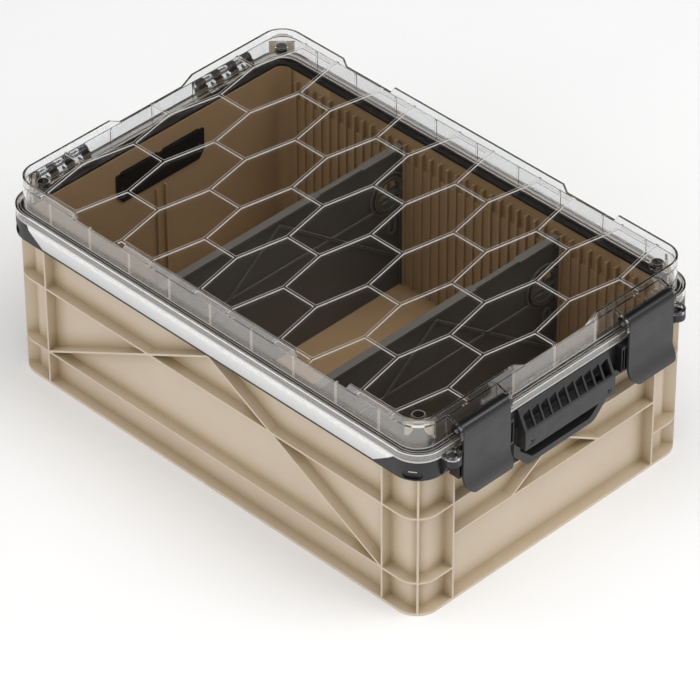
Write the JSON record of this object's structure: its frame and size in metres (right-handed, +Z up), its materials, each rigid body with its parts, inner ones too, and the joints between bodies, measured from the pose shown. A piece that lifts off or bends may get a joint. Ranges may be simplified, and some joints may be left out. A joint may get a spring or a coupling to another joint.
{
  "type": "lidded storage crate",
  "caption": "Lidded storage crate: ribbed tub, black rim frame, clear hinged lid with latches and padlock eyes, end handles and lift-out dividers.",
  "frame": {"origin": "centre of the bottom face", "axes": "+Z up; +Y from the latch end to the hinge end; +X to the right seen from the latch end"},
  "size_m": [0.412, 0.6464, 0.25],
  "materials": {
    "tub": "satin",
    "frame": "satin",
    "rail": "satin",
    "gasket": "matt",
    "lid": "clear gloss",
    "latch": "satin",
    "pin": "bright",
    "handle": "satin",
    "liner": "satin",
    "screw": "blackened",
    "divider": "satin"
  },
  "bodies": {
    "root": {"crate_tub": "tub", "rim_frame": "frame", "side_rail_left": "rail", "side_rail_right": "rail", "lid_gasket": "gasket", "hinge_pin_left": "pin", "hinge_pin_right": "pin", "handle_front": "handle", "handle_rear": "handle", "handle_liner_front": "liner", "handle_liner_rear": "liner", "handle_screws_front": "screw", "handle_screws_rear": "screw"},
    "lid": {"lid_shell": "lid", "latch_pin_left": "pin", "latch_pin_right": "pin"},
    "latch_left": {"latch_left": "latch"},
    "latch_right": {"latch_right": "latch"},
    "divider_front": {"divider_front": "divider"},
    "divider_rear": {"divider_rear": "divider"}
  },
  "joints": [
    {"name": "lid_hinge", "type": "hinge", "parent": "root", "child": "lid", "pos_m": [0, 0.3135, 0.2145], "axis": [-1, 0, 0], "range_deg": [0, 110]},
    {"name": "latch_left_pivot", "type": "hinge", "parent": "lid", "child": "latch_left", "pos_m": [-0.1204, -0.309, 0.229], "axis": [-1, 0, 0], "range_deg": [0, 100]},
    {"name": "latch_right_pivot", "type": "hinge", "parent": "lid", "child": "latch_right", "pos_m": [0.1204, -0.309, 0.229], "axis": [-1, 0, 0], "range_deg": [0, 100]},
    {"name": "divider_front_lift", "type": "slide", "parent": "root", "child": "divider_front", "axis": [0, 0, 1], "range_m": [0, 0.045]},
    {"name": "divider_rear_lift", "type": "slide", "parent": "root", "child": "divider_rear", "axis": [0, 0, 1], "range_m": [0, 0.045]}
  ]
}
